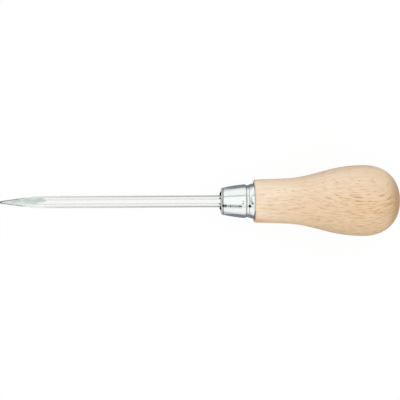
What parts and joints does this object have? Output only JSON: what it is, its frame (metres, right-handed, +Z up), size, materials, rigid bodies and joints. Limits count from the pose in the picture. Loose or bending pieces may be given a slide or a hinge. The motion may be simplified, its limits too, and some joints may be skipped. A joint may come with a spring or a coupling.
{
  "type": "square awl",
  "caption": "Hand awl with a pear-shaped turned beech handle, a grooved plated ferrule and a round steel shank ground to a square point.",
  "frame": {"origin": "on the bench, under the middle of the tool's bounding box as it lies at rest", "axes": "+Z up from the bench; +X from the point towards the butt of the handle; the tool's own axis lies in the XZ plane and rises 5.23 degrees towards the butt"},
  "size_m": [0.1994, 0.0354, 0.0357],
  "materials": {
    "beech": "satin clear lacquer on turned beech",
    "plated_sheet": "bright nickel plate on rolled sheet steel",
    "polished_steel": "polished round bar with a matt ground point"
  },
  "bodies": {
    "root": {"handle": "beech", "ferrule": "plated_sheet", "blade": "polished_steel"}
  },
  "joints": []
}
